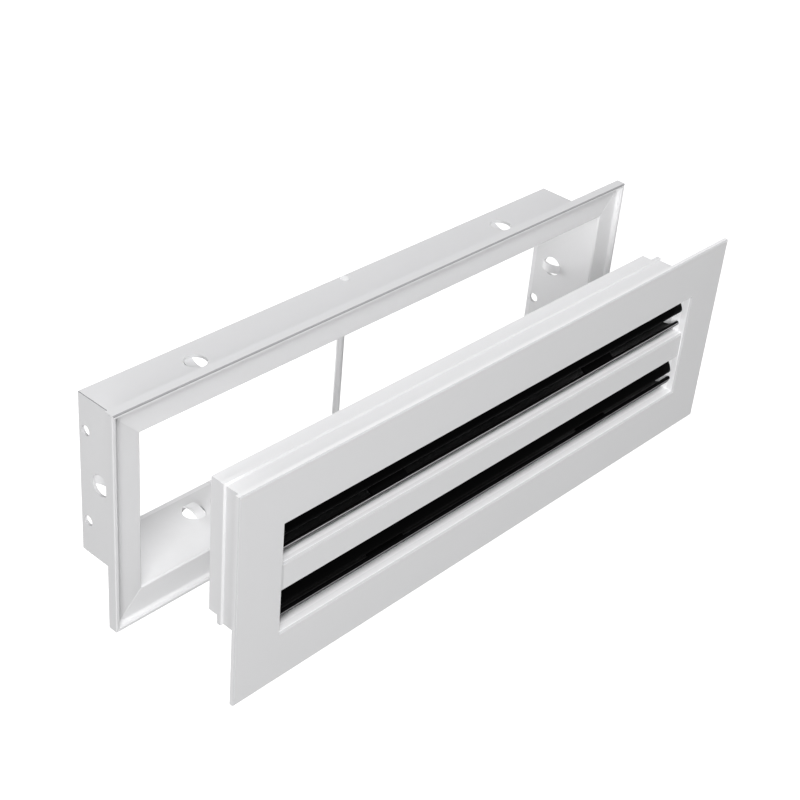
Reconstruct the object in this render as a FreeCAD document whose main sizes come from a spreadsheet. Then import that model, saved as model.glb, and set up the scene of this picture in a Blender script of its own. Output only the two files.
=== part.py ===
"""Linear slot diffuser: a mounting frame and the two-slot core that slides out of it.

The origin is the centre of the wall opening, in the plane of the wall. X runs along the slots,
Y points into the wall and Z points up. The core stands drawn out of the frame, towards -Y.
"""
import FreeCAD, Part
import os

import Sketcher

SHEET = "Sizes"
SHEET_ROWS = 60
SHEET_COLUMNS = "ABCD"
CUT_SPARE = 5.0
ALONG_SLOT = FreeCAD.Rotation(FreeCAD.Vector(1, 1, 1), 120)
Z_TO_X = FreeCAD.Rotation(FreeCAD.Vector(0, 1, 0), 90)
X_TO_Z = FreeCAD.Rotation(FreeCAD.Vector(0, 1, 0), -90)

# Driving dimensions, in millimetres and degrees
SIZES = {
    # Face of the core
    "core_length": 305.0,
    "slot_width": 19.0,
    "bar_width": 13.4,
    "rim_width": 23.3,
    "face_wall": 1.5,
    "edge_depth": 2.0,
    "edge_wall": 1.5,
    "face_chamfer": 0.4,
    "flank_depth": 7.0,
    "flank_bevel": 0.8,
    # Neck of the core
    "neck_inset": 16.0,
    "neck_step": 1.0,
    "neck_wall": 1.4,
    "neck_depth": 33.4,
    "bead_height": 0.85,
    "bead_start": 24.0,
    "bead_width": 3.3,
    "bead_chamfer": 0.6,
    # Centre bar
    "bar_recess": 1.0,
    "bar_wall": 1.4,
    "bar_flank_depth": 6.2,
    "stem_wall": 1.6,
    "stem_depth": 26.0,
    "near_port_depth": 10.0,
    "far_port_depth": 21.0,
    "port_bore": 2.6,
    "port_wall": 1.5,
    # Plates, rods and small hardware of the core
    "plate_wall": 1.2,
    "plate_gap": 0.2,
    "plate_inset": 0.6,
    "screw_shank": 2.5,
    "screw_head": 5.4,
    "screw_head_height": 1.8,
    "screw_reach": 9.0,
    "screw_socket": 2.6,
    "socket_depth": 1.1,
    "screw_hole": 3.0,
    "rod_diameter": 3.0,
    "rod_overhang": 2.4,
    "rod_chamfer": 0.3,
    "rod_hole_gap": 0.05,
    "washer_diameter": 7.5,
    "washer_wall": 0.6,
    "key_gap": 0.1,
    "key_length": 20.0,
    # Deflector blades
    "pivot_depth": 12.0,
    "blade_end_gap": 0.6,
    "blade_slot_gap": 0.3,
    "blade_wall": 1.6,
    "nose_radius": 2.0,
    "low_blade_rise": 0.6,
    "low_blade_wall": 1.8,
    "hub_wall": 1.4,
    "hub_gap": 0.05,
    "web_wall": 1.4,
    "knuckle_length": 20.0,
    "knuckle_gap": 0.5,
    "knuckle_room": 1.6,
    "knuckle_spacing": 136.0,
    "top_blade_span": 82.0,
    "low_blade_span": 76.0,
    "upper_top_angle": 162.0,
    "upper_low_angle": 214.0,
    "lower_top_angle": 169.0,
    "lower_low_angle": 198.0,
    # Mounting frame
    "side_gap": 1.0,
    "end_gap": 2.7,
    "lip_wall": 1.8,
    "lip_depth": 4.6,
    "lip_chamfer": 0.3,
    "recess_depth": 2.2,
    "recess_fillet": 1.4,
    "flange_wall": 1.2,
    "flange_width": 13.4,
    "mouth_chamfer": 0.6,
    "frame_neck_wall": 1.3,
    "frame_neck_depth": 33.5,
    "mitre_gap": 0.25,
    "wall_key_gap": 0.2,
    "wall_key_length": 26.0,
    # Catches, holes and tie rod of the frame
    "catch_spacing": 190.0,
    "catch_hole": 10.0,
    "catch_strip": 4.4,
    "catch_wall": 1.0,
    "catch_root": 0.4,
    "catch_gap": 0.4,
    "fixing_spacing": 44.0,
    "fixing_inset": 4.1,
    "fixing_hole": 4.8,
    "tie_diameter": 3.5,
    "tie_inset": 2.3,
    "tie_tenon": 2.4,
    "tie_hole_gap": 0.05,
    # Distance that the core stands out of its seat
    "core_pull": 63.4,
}


class Dim:
    """A length or angle that is known both as an expression over the sheet and as a number."""

    def __init__(self, text, value):
        self.text = text
        self.value = value

    @staticmethod
    def of(item):
        """Wrap a plain number, and pass a Dim through."""
        return item if isinstance(item, Dim) else Dim(repr(float(item)), float(item))

    def __add__(self, other):
        other = Dim.of(other)
        return Dim(f"({self.text} + {other.text})", self.value + other.value)

    def __sub__(self, other):
        other = Dim.of(other)
        return Dim(f"({self.text} - {other.text})", self.value - other.value)

    def __mul__(self, factor):
        return Dim(f"({self.text} * {float(factor)!r})", self.value * factor)

    def __neg__(self):
        return self * -1


def size(alias):
    """One driving dimension."""
    return Dim(f"{SHEET}.{alias}", SIZES[alias])


ZERO = Dim.of(0)

# Lengths that follow from the driving dimensions
CORE_HALF_LENGTH = size("core_length") * 0.5
CORE_HALF_HEIGHT = size("slot_width") + size("bar_width") * 0.5 + size("rim_width")
SLOT_HALF_LENGTH = CORE_HALF_LENGTH - size("rim_width")
SLOT_CENTRE = (size("bar_width") + size("slot_width")) * 0.5
FACE_Y = -(size("lip_depth") + size("core_pull"))
NECK_FRONT_INNER = size("neck_inset") + size("neck_wall")
NECK_REAR_INNER = NECK_FRONT_INNER + size("neck_step")
BEAD_END = size("bead_start") + size("bead_width")
BEAD_MIDDLE = size("bead_start") + size("bead_width") * 0.5
BEAD_INSET = size("neck_inset") - size("bead_height")
FRAME_HALF_LENGTH = CORE_HALF_LENGTH + size("end_gap") + size("lip_wall")
FRAME_HALF_HEIGHT = CORE_HALF_HEIGHT + size("side_gap") + size("lip_wall")
FLANGE_FRONT = size("recess_depth") - size("lip_depth")
FLANGE_BACK = FLANGE_FRONT + size("flange_wall")
FRAME_NECK_INNER = size("flange_width") + size("frame_neck_wall")
FIXING_DEPTH = size("frame_neck_depth") - size("fixing_inset")
TIE_DEPTH = size("frame_neck_depth") - size("tie_inset")
# The catches stand where the bead of the seated core comes to rest, and leave it room
CATCH_DEPTH = BEAD_MIDDLE - size("lip_depth")
CATCH_BOW = FRAME_HALF_HEIGHT - FRAME_NECK_INNER - CORE_HALF_HEIGHT + BEAD_INSET - size("catch_gap")
ROD_RADIUS = size("rod_diameter") * 0.5
ROD_HALF_LENGTH = SLOT_HALF_LENGTH + size("plate_wall") + size("rod_overhang")
PIVOT_Y = FACE_Y + size("pivot_depth")
HUB_BORE = ROD_RADIUS + size("hub_gap")
HUB_RADIUS = HUB_BORE + size("hub_wall")
BLADE_HALF_LENGTH = SLOT_HALF_LENGTH - size("blade_end_gap")
TOP_BLADE_RADIUS = size("slot_width") * 0.5 - size("blade_slot_gap")
LOW_BLADE_RADIUS = size("slot_width") * 0.5 + size("low_blade_rise")

doc = FreeCAD.newDocument("LinearSlotDiffuser")
sub_parts = []
cuts = []


def fill_sheet():
    """Write every driving dimension to the spreadsheet under its alias."""
    sheet = doc.addObject("Spreadsheet::Sheet", SHEET)
    for index, (alias, value) in enumerate(SIZES.items()):
        place = f"{SHEET_COLUMNS[index // SHEET_ROWS]}{index % SHEET_ROWS + 1}"
        sheet.set(place, str(value))
        sheet.setAlias(place, alias)
    doc.recompute()


def bind(item, name, dim):
    """Tie one property of an object to an expression over the sheet."""
    item.setExpression(name, Dim.of(dim).text)


def keep(item, label):
    """Name a finished sub-part and put it on the list of files."""
    item.Label = label
    sub_parts.append(item)
    return item


def new_body(label, turn=0, depth=None):
    """A body turned about Y by a right angle or more, at a depth along Y."""
    body = doc.addObject("PartDesign::Body", f"{label}_body")
    rotation = FreeCAD.Rotation(FreeCAD.Vector(0, 1, 0), turn)
    body.Placement = FreeCAD.Placement(FreeCAD.Vector(0, 0, 0), rotation)
    if depth is not None:
        bind(body, "Placement.Base.y", depth)
    return keep(body, label)


def datum(body, role):
    """One of the origin planes or axes of a body."""
    return next(item for item in body.Origin.OriginFeatures if item.Role == role)


def new_sketch(body, role, name, offset=None):
    """A sketch on an origin plane of its own body, moved along the plane's normal."""
    sketch = body.newObject("Sketcher::SketchObject", f"{body.Label}_{name}")
    sketch.AttachmentSupport = (datum(body, role), [""])
    sketch.MapMode = "FlatFace"
    if offset is not None:
        bind(sketch, "AttachmentOffset.Base.z", offset)
    return sketch


def constrain(sketch, kind, geometry, point, dim):
    """Add one dimension to a sketch and tie it to the sheet."""
    if kind in ("Radius", "Diameter"):
        constraint = Sketcher.Constraint(kind, geometry, dim.value)
    else:
        constraint = Sketcher.Constraint(kind, geometry, point, dim.value)
    index = sketch.addConstraint(constraint)
    name = f"{kind}{index}"
    sketch.renameConstraint(index, name)
    bind(sketch, f"Constraints.{name}", dim)


def pin_point(sketch, geometry, point, place):
    """Fix one point of a sketch at its two coordinates."""
    constrain(sketch, "DistanceX", geometry, point, Dim.of(place[0]))
    constrain(sketch, "DistanceY", geometry, point, Dim.of(place[1]))


def vector(place):
    """The place of a sketch point as a vector."""
    return FreeCAD.Vector(Dim.of(place[0]).value, Dim.of(place[1]).value, 0)


def draw_outline(sketch, points):
    """A closed outline of straight lines, every corner tied to the sheet.

    A point with a third entry starts an arc of that radius instead of a line. The fourth entry
    is a place on that arc. A sketch keeps its arcs anticlockwise, so one that bends the other
    way is drawn from its end.
    """
    first = sketch.GeometryCount
    count = len(points)
    ends = []
    for index, point in enumerate(points):
        start = vector(point)
        end = vector(points[(index + 1) % count])
        if len(point) <= 2:
            sketch.addGeometry(Part.LineSegment(start, end))
            ends.append((1, 2))
            continue
        bend = vector(point[3])
        if (bend - start).cross(end - bend).z > 0:
            sketch.addGeometry(Part.Arc(start, bend, end))
            ends.append((1, 2))
        else:
            sketch.addGeometry(Part.Arc(end, bend, start))
            ends.append((2, 1))
    for index, point in enumerate(points):
        following = (index + 1) % count
        end_of_this = (first + index, ends[index][1])
        start_of_next = (first + following, ends[following][0])
        sketch.addConstraint(Sketcher.Constraint("Coincident", *end_of_this, *start_of_next))
        pin_point(sketch, first + index, ends[index][0], point)
        if len(point) > 2:
            constrain(sketch, "Radius", first + index, 0, point[2])


def draw_circle(sketch, centre, diameter):
    """A circle whose centre and diameter are tied to the sheet."""
    circle = Part.Circle(vector(centre), FreeCAD.Vector(0, 0, 1), diameter.value / 2)
    index = sketch.addGeometry(circle)
    pin_point(sketch, index, 3, centre)
    constrain(sketch, "Diameter", index, 0, diameter)


def add_pad(body, sketch, length, both_ways=True, towards_back=False):
    """Raise a sketch by a length, to both sides or to one."""
    pad = body.newObject("PartDesign::Pad", f"{sketch.Name}_pad")
    pad.Profile = sketch
    pad.SideType = "Symmetric" if both_ways else "One side"
    pad.Reversed = towards_back
    bind(pad, "Length", length)
    body.Tip = pad
    return pad


def add_cut(body, sketch):
    """Cut a sketch right through a body, both ways, and note it for the test of volumes."""
    before = body.Tip
    pocket = body.newObject("PartDesign::Pocket", f"{sketch.Name}_cut")
    pocket.Profile = sketch
    pocket.Type = "ThroughAll"
    pocket.SideType = "Symmetric"
    body.Tip = pocket
    cuts.append((before, pocket))
    return pocket


def mitred_profile(label, turn, depth, section, half_length, half_height, reach, gap):
    """An extrusion along local X with both ends cut at 45 degrees, turned to its side.

    The section is a list of places (depth, inset), with the inset measured inwards from the
    outer edge, which lies half_height above the middle.
    """
    body = new_body(label, turn, depth)
    outline = new_sketch(body, "YZ_Plane", "section")
    places = []
    for entry in section:
        place = (entry[0], half_height - entry[1])
        if len(entry) > 2:
            bend = (entry[3][0], half_height - entry[3][1])
            place = (*place, entry[2], bend)
        places.append(place)
    draw_outline(outline, places)
    add_pad(body, outline, half_length * 2)
    mitre = new_sketch(body, "XZ_Plane", "mitre")
    shift = gap * 0.5 ** 0.5
    foot = half_height - reach
    for side in (1, -1):
        inner = half_length - reach - shift
        outer = half_length + CUT_SPARE - shift
        draw_outline(mitre, [
            (inner * side, foot),
            (outer * side, foot),
            (outer * side, half_height + CUT_SPARE),
        ])
    add_cut(body, mitre)
    return body


# Mounting frame

def frame_section():
    """Section of the frame: lip, recessed flange with a fillet, mouth and neck wall."""
    front = -size("lip_depth")
    lip = size("lip_wall")
    chamfer = size("lip_chamfer")
    fillet = size("recess_fillet")
    near_fillet = fillet * (1 - 0.5 ** 0.5)
    mouth = size("mouth_chamfer")
    rear = size("frame_neck_depth")
    return [
        (front + chamfer, ZERO),
        (front, chamfer),
        (front, lip - chamfer),
        (front + chamfer, lip),
        (FLANGE_FRONT - fillet, lip, fillet, (FLANGE_FRONT - near_fillet, lip + near_fillet)),
        (FLANGE_FRONT, lip + fillet),
        (FLANGE_FRONT, FRAME_NECK_INNER - mouth),
        (FLANGE_FRONT + mouth, FRAME_NECK_INNER),
        (rear, FRAME_NECK_INNER),
        (rear, size("flange_width")),
        (FLANGE_BACK, size("flange_width")),
        (FLANGE_BACK, lip),
        (ZERO, lip),
        (ZERO, ZERO),
    ]


def add_catches(body, half_height, places):
    """Round holes through the neck wall, each crossed by a strip bowed inwards."""
    holes = new_sketch(body, "XY_Plane", "catch_holes")
    for place in places:
        draw_circle(holes, (place, CATCH_DEPTH), size("catch_hole"))
    add_cut(body, holes)
    inner = half_height - FRAME_NECK_INNER
    root = inner + size("catch_root")
    half_span = size("catch_hole") * 0.5 + size("catch_root")
    middle = CATCH_DEPTH
    apex = inner - CATCH_BOW
    crown = apex + size("catch_wall")
    for number, place in enumerate(places, start=1):
        strip = new_sketch(body, "YZ_Plane", f"catch_{number}", place)
        draw_outline(strip, [
            (middle - half_span, root, arc_radius(half_span, root - crown), (middle, crown)),
            (middle + half_span, root),
            (middle + half_span, inner, arc_radius(half_span, CATCH_BOW), (middle, apex)),
            (middle - half_span, inner),
        ])
        add_pad(body, strip, size("catch_strip"))


def arc_radius(half_chord, rise):
    """Radius of the arc that rises by an amount over a chord."""
    text = f"(({half_chord.text} ^ 2 + {rise.text} ^ 2) / (2 * {rise.text}))"
    value = (half_chord.value ** 2 + rise.value ** 2) / (2 * rise.value)
    return Dim(text, value)


def frame_profile(label, turn, half_length, half_height):
    """One mitred side of the frame, before its catches and holes."""
    reach = FRAME_NECK_INNER + CUT_SPARE
    section = frame_section()
    gap = size("mitre_gap")
    return mitred_profile(label, turn, None, section, half_length, half_height, reach, gap)


def make_long_frame_side(label, turn):
    """Top or bottom of the frame, with two catches and the hole of the tie rod."""
    body = frame_profile(label, turn, FRAME_HALF_LENGTH, FRAME_HALF_HEIGHT)
    half_spacing = size("catch_spacing") * 0.5
    add_catches(body, FRAME_HALF_HEIGHT, [half_spacing, -half_spacing])
    hole = new_sketch(body, "XY_Plane", "tie_hole")
    draw_circle(hole, (ZERO, TIE_DEPTH), size("tie_tenon") + size("tie_hole_gap") * 2)
    add_cut(body, hole)


def make_short_frame_side(label, turn):
    """Left or right end of the frame, with one catch and two screw holes."""
    body = frame_profile(label, turn, FRAME_HALF_HEIGHT, FRAME_HALF_LENGTH)
    add_catches(body, FRAME_HALF_LENGTH, [ZERO])
    holes = new_sketch(body, "XY_Plane", "fixing_holes")
    half_spacing = size("fixing_spacing") * 0.5
    for place in (half_spacing, -half_spacing):
        draw_circle(holes, (place, FIXING_DEPTH), size("fixing_hole"))
    add_cut(body, holes)


def make_corner_key(label, sides, corner, insets, arm, depth, wall):
    """An L-shaped key in the channel behind two mitred profiles."""
    body = new_body(label, 0, depth)
    outline = new_sketch(body, "XZ_Plane", "outline")
    near, far = insets
    tip = near + arm
    corners = [(near, near), (tip, near), (tip, far), (far, far), (far, tip), (near, tip)]
    draw_outline(outline, [
        ((corner[0] - across) * sides[0], (corner[1] - up) * sides[1]) for across, up in corners
    ])
    add_pad(body, outline, wall, both_ways=False, towards_back=True)


def make_frame_keys():
    """Four flat keys behind the flange of the frame."""
    insets = (size("lip_wall") + size("wall_key_gap"), size("flange_width") - size("wall_key_gap"))
    wall = -FLANGE_BACK - size("wall_key_gap")
    corner = (FRAME_HALF_LENGTH, FRAME_HALF_HEIGHT)
    for place, sides in CORNERS.items():
        arm = size("wall_key_length")
        make_corner_key(f"frame_key_{place}", sides, corner, insets, arm, FLANGE_BACK, wall)


def turned_piece(label, outline, rotation, base):
    """A turned piece: an outline above local X, revolved about it and put in its place."""
    body = new_body(label)
    sketch = new_sketch(body, "XY_Plane", "outline")
    draw_outline(sketch, outline)
    turned = body.newObject("PartDesign::Revolution", f"{label}_turned")
    turned.Profile = sketch
    turned.ReferenceAxis = (datum(body, "X_Axis"), [""])
    turned.Angle = 360
    body.Tip = turned
    body.Placement = FreeCAD.Placement(FreeCAD.Vector(0, 0, 0), rotation)
    bind(body, "Placement.Base.y", base[0])
    bind(body, "Placement.Base.z", base[1])


def make_tie_rod():
    """Round bar between the long neck walls, with a tenon peened flush in each of them."""
    shoulder = FRAME_HALF_HEIGHT - FRAME_NECK_INNER
    end = FRAME_HALF_HEIGHT - size("flange_width")
    radius = size("tie_diameter") * 0.5
    tenon = size("tie_tenon") * 0.5
    outline = [
        (-end, ZERO),
        (-end, tenon),
        (-shoulder, tenon),
        (-shoulder, radius),
        (shoulder, radius),
        (shoulder, tenon),
        (end, tenon),
        (end, ZERO),
    ]
    turned_piece("tie_rod", outline, X_TO_Z, (TIE_DEPTH, ZERO))


# Removable core

def core_section():
    """Section of the core's rim: turned edge, face, slot flank and the stepped neck."""
    face = size("face_wall")
    inset = size("neck_inset")
    edge = size("edge_wall")
    chamfer = size("face_chamfer")
    rim = size("rim_width")
    bevel = size("flank_bevel")
    flank = size("flank_depth")
    rear_outer = inset + size("neck_step")
    bead = size("bead_chamfer")
    start = size("bead_start")
    return [
        (chamfer, ZERO),
        (ZERO, chamfer),
        (ZERO, rim - bevel),
        (bevel, rim),
        (flank, rim),
        (flank, rim - size("bar_wall")),
        (face, rim - size("bar_wall")),
        (face, NECK_FRONT_INNER),
        (BEAD_MIDDLE, NECK_FRONT_INNER),
        (BEAD_MIDDLE, NECK_REAR_INNER),
        (size("neck_depth"), NECK_REAR_INNER),
        (size("neck_depth"), rear_outer),
        (BEAD_END, rear_outer),
        (BEAD_END - bead, BEAD_INSET),
        (start + bead, BEAD_INSET),
        (start, inset),
        (face, inset),
        (face, edge),
        (size("edge_depth"), edge),
        (size("edge_depth"), ZERO),
    ]


def make_core_profile(label, turn, half_length, half_height):
    """One mitred side of the core's rim and neck."""
    reach = size("rim_width") + CUT_SPARE
    mitred_profile(label, turn, FACE_Y, core_section(), half_length, half_height, reach, ZERO)


def make_core_keys():
    """Four corner keys in the channel between the neck wall and the slot flank."""
    insets = (NECK_FRONT_INNER + size("key_gap"), size("rim_width") - size("bar_wall") - size("key_gap"))
    wall = size("flank_depth") - size("face_wall") - size("key_gap") * 2
    corner = (CORE_HALF_LENGTH, CORE_HALF_HEIGHT)
    for place, sides in CORNERS.items():
        depth = FACE_Y + size("face_wall")
        make_corner_key(f"core_key_{place}", sides, corner, insets, size("key_length"), depth, wall)


def make_centre_bar():
    """Extruded bar between the slots: a channel-shaped cap, a stem and two screw ports."""
    body = new_body("centre_bar", 0, FACE_Y)
    section = new_sketch(body, "YZ_Plane", "section")
    front = size("bar_recess")
    half = size("bar_width") * 0.5
    wall = size("bar_wall")
    bevel = size("flank_bevel")
    stem = size("stem_wall") * 0.5
    upper = [
        (front, half - bevel),
        (front + bevel, half),
        (size("bar_flank_depth"), half),
        (size("bar_flank_depth"), half - wall),
        (front + wall, half - wall),
        (front + wall, stem),
        (size("stem_depth"), stem),
    ]
    lower = [(depth, -height) for depth, height in reversed(upper)]
    draw_outline(section, upper + lower)
    add_pad(body, section, SLOT_HALF_LENGTH * 2)
    bosses = new_sketch(body, "YZ_Plane", "bosses")
    bores = new_sketch(body, "YZ_Plane", "bores")
    for depth in (size("near_port_depth"), size("far_port_depth")):
        draw_circle(bosses, (depth, ZERO), size("port_bore") + size("port_wall") * 2)
        draw_circle(bores, (depth, ZERO), size("port_bore"))
    add_pad(body, bosses, SLOT_HALF_LENGTH * 2)
    add_cut(body, bores)


def make_end_plate(label, side):
    """Folded plate behind the end flank, which carries the rods and the bar."""
    body = new_body(label, 0, FACE_Y)
    fold = new_sketch(body, "XY_Plane", "fold")
    wall = size("plate_wall")
    inner = SLOT_HALF_LENGTH
    seat = CORE_HALF_LENGTH - NECK_REAR_INNER
    front = size("flank_depth")
    rear = size("neck_depth") - size("plate_inset")
    tab = BEAD_MIDDLE + size("plate_inset")
    draw_outline(fold, [
        (inner * side, front),
        ((inner + wall) * side, front),
        ((inner + wall) * side, rear - wall),
        ((seat - wall) * side, rear - wall),
        ((seat - wall) * side, tab),
        (seat * side, tab),
        (seat * side, rear),
        (inner * side, rear),
    ])
    add_pad(body, fold, (CORE_HALF_HEIGHT - NECK_REAR_INNER - size("plate_gap")) * 2)
    holes = new_sketch(body, "YZ_Plane", "holes")
    for height in (SLOT_CENTRE, -SLOT_CENTRE):
        hole = size("rod_diameter") + size("rod_hole_gap") * 2
        draw_circle(holes, (size("pivot_depth"), height), hole)
    for depth in (size("near_port_depth"), size("far_port_depth")):
        draw_circle(holes, (depth, ZERO), size("screw_hole"))
    add_cut(body, holes)


def cylinder(name, radius, start, length, centre=(ZERO, ZERO), rotation=None):
    """A cylinder along local Z, or along X when it is given that rotation."""
    item = doc.addObject("Part::Cylinder", name)
    bind(item, "Radius", radius)
    bind(item, "Height", length)
    if rotation is None:
        axes = ("z", "x", "y")
    else:
        item.Placement = FreeCAD.Placement(FreeCAD.Vector(0, 0, 0), rotation)
        axes = ("x", "y", "z")
    for axis, place in zip(axes, (start, *centre)):
        bind(item, f"Placement.Base.{axis}", place)
    return item


def boolean(kind, name, base, tool):
    """A cut or a fuse of two solids."""
    item = doc.addObject(kind, name)
    item.Base = base
    item.Tool = tool
    return item


def group(label, solids):
    """Several like solids as one sub-part, at the depth of the core's face."""
    item = doc.addObject("Part::Compound", label)
    item.Links = solids
    bind(item, "Placement.Base.y", FACE_Y)
    return keep(item, label)


def make_bar_screws(label, side):
    """Two socket screws through an end plate into the ports of the bar."""
    screws = []
    seat = SLOT_HALF_LENGTH + size("plate_wall")
    head = size("screw_head_height")
    for name, depth in (("near", size("near_port_depth")), ("far", size("far_port_depth"))):
        name = f"{label}_{name}"
        shank_length = size("plate_wall") + size("screw_reach")
        shank_start = seat - shank_length if side > 0 else -seat
        head_start = seat if side > 0 else -(seat + head)
        centre = (depth, ZERO)
        radius = size("screw_shank") * 0.5
        shank = cylinder(f"{name}_shank", radius, shank_start, shank_length, centre, Z_TO_X)
        cap = cylinder(f"{name}_cap", size("screw_head") * 0.5, head_start, head, centre, Z_TO_X)
        solid = boolean("Part::Fuse", f"{name}_solid", shank, cap)
        socket = doc.addObject("Part::Prism", f"{name}_socket")
        socket.Polygon = 6
        bind(socket, "Circumradius", size("screw_socket") * 0.5)
        bind(socket, "Height", size("socket_depth"))
        socket.Placement = FreeCAD.Placement(FreeCAD.Vector(0, 0, 0), Z_TO_X)
        socket_start = seat + head - size("socket_depth") if side > 0 else -(seat + head)
        bind(socket, "Placement.Base.x", socket_start)
        bind(socket, "Placement.Base.y", depth)
        screws.append(boolean("Part::Cut", f"{name}_screw", solid, socket))
    group(label, screws)


def make_rod_washers(label, side):
    """Push-on washers that keep the two rods, outside an end plate."""
    washers = []
    seat = SLOT_HALF_LENGTH + size("plate_wall")
    wall = size("washer_wall")
    start = seat if side > 0 else -(seat + wall)
    for name, height in (("upper", SLOT_CENTRE), ("lower", -SLOT_CENTRE)):
        centre = (size("pivot_depth"), height)
        radius = size("washer_diameter") * 0.5
        disc = cylinder(f"{label}_{name}_disc", radius, start, wall, centre, Z_TO_X)
        grip = ROD_RADIUS + size("rod_hole_gap")
        bore = cylinder(f"{label}_{name}_bore", grip, start, wall, centre, Z_TO_X)
        washers.append(boolean("Part::Cut", f"{label}_{name}_washer", disc, bore))
    group(label, washers)


def make_pivot_rod(label, height):
    """Steel rod on which both blades of a slot turn."""
    chamfer = size("rod_chamfer")
    end = ROD_HALF_LENGTH
    outline = [
        (-end, ZERO),
        (-end, ROD_RADIUS - chamfer),
        (chamfer - end, ROD_RADIUS),
        (end - chamfer, ROD_RADIUS),
        (end, ROD_RADIUS - chamfer),
        (end, ZERO),
    ]
    turned_piece(label, outline, FreeCAD.Rotation(), (PIVOT_Y, height))


# Deflector blades. Each is built round the rod, along local Z, with its nose on local +X.

def arc_shell(name, radius, wall, span, start_angle):
    """Part of a tube wall round the rod, as long as the blade."""
    start = -BLADE_HALF_LENGTH
    length = BLADE_HALF_LENGTH * 2
    outer = cylinder(f"{name}_outer", radius, start, length)
    bind(outer, "Angle", span)
    bind(outer, "Placement.Rotation.Angle", start_angle)
    inner = cylinder(f"{name}_inner", radius - wall, start, length)
    return boolean("Part::Cut", f"{name}_shell", outer, inner)


def web(name, reach, start, length):
    """Flat web from the hub out to the nose."""
    item = doc.addObject("Part::Box", name)
    bind(item, "Length", reach - HUB_BORE)
    bind(item, "Width", size("web_wall"))
    bind(item, "Height", length)
    bind(item, "Placement.Base.x", HUB_BORE)
    bind(item, "Placement.Base.y", size("web_wall") * -0.5)
    bind(item, "Placement.Base.z", start)
    return item


def knuckles(name, radius, spare):
    """Two short cylinders round the rod where the low blade is hinged."""
    items = []
    for side, word in ((1, "right"), (-1, "left")):
        length = size("knuckle_length") + spare * 2
        start = size("knuckle_spacing") * (0.5 * side) - length * 0.5
        items.append(cylinder(f"{name}_{word}", radius, start, length))
    return items


def finish_blade(label, solids, cutters, angle, height):
    """Fuse a blade, turn it to its rest angle, cut its bore and put it on its rod."""
    whole = doc.addObject("Part::MultiFuse", f"{label}_whole")
    whole.Shapes = solids
    bind(whole, "Placement.Rotation.Angle", angle)
    blade = whole
    for number, cutter in enumerate(cutters, start=1):
        blade = boolean("Part::Cut", f"{label}_cut_{number}", blade, cutter)
    blade.Placement = FreeCAD.Placement(FreeCAD.Vector(0, 0, 0), ALONG_SLOT)
    bind(blade, "Placement.Base.y", PIVOT_Y)
    bind(blade, "Placement.Base.z", height)
    keep(blade, label)


def bore(label):
    """Bore for the rod, through the whole blade."""
    return cylinder(f"{label}_bore", HUB_BORE, -SLOT_HALF_LENGTH, SLOT_HALF_LENGTH * 2)


def make_top_blade(label, angle, height):
    """Blade that closes the top of its slot: a round nose, a shell, a web and a long hub."""
    start = -BLADE_HALF_LENGTH
    length = BLADE_HALF_LENGTH * 2
    span = size("top_blade_span")
    nose_place = TOP_BLADE_RADIUS - size("nose_radius")
    solids = [
        arc_shell(label, TOP_BLADE_RADIUS, size("blade_wall"), span, -span),
        cylinder(f"{label}_nose", size("nose_radius"), start, length, (nose_place, ZERO)),
        web(f"{label}_web", nose_place, start, length),
        cylinder(f"{label}_hub", HUB_RADIUS, start, length),
    ]
    cutters = knuckles(f"{label}_room", HUB_RADIUS + size("knuckle_room"), size("knuckle_gap"))
    finish_blade(label, solids, [*cutters, bore(label)], angle, height)


def make_low_blade(label, angle, height):
    """Blade that closes the bottom of its slot: a thin shell hung on two knuckles."""
    wall = size("low_blade_wall")
    middle = LOW_BLADE_RADIUS - wall * 0.5
    start = -BLADE_HALF_LENGTH
    length = BLADE_HALF_LENGTH * 2
    solids = [
        arc_shell(label, LOW_BLADE_RADIUS, wall, size("low_blade_span"), ZERO),
        cylinder(f"{label}_nose", wall * 0.5, start, length, (middle, ZERO)),
        *knuckles(f"{label}_hub", HUB_RADIUS, ZERO),
    ]
    for side, word in ((1, "right"), (-1, "left")):
        web_start = size("knuckle_spacing") * (0.5 * side) - size("knuckle_length") * 0.5
        solids.append(web(f"{label}_web_{word}", middle, web_start, size("knuckle_length")))
    finish_blade(label, solids, [bore(label)], angle, height)


CORNERS = {
    "top_left": (-1, 1),
    "top_right": (1, 1),
    "bottom_left": (-1, -1),
    "bottom_right": (1, -1),
}


def build():
    """Build every sub-part of the frame and of the core."""
    make_long_frame_side("frame_top", 0)
    make_long_frame_side("frame_bottom", 180)
    make_short_frame_side("frame_right", 90)
    make_short_frame_side("frame_left", -90)
    make_frame_keys()
    make_tie_rod()
    make_core_profile("core_top", 0, CORE_HALF_LENGTH, CORE_HALF_HEIGHT)
    make_core_profile("core_bottom", 180, CORE_HALF_LENGTH, CORE_HALF_HEIGHT)
    make_core_profile("core_right", 90, CORE_HALF_HEIGHT, CORE_HALF_LENGTH)
    make_core_profile("core_left", -90, CORE_HALF_HEIGHT, CORE_HALF_LENGTH)
    make_core_keys()
    make_centre_bar()
    for word, side in (("left", -1), ("right", 1)):
        make_end_plate(f"end_plate_{word}", side)
        make_bar_screws(f"bar_screws_{word}", side)
        make_rod_washers(f"rod_washers_{word}", side)
    for slot, height in (("upper", SLOT_CENTRE), ("lower", -SLOT_CENTRE)):
        make_pivot_rod(f"pivot_rod_{slot}", height)
        make_top_blade(f"{slot}_slot_top_blade", size(f"{slot}_top_angle"), height)
        make_low_blade(f"{slot}_slot_low_blade", size(f"{slot}_low_angle"), height)


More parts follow.
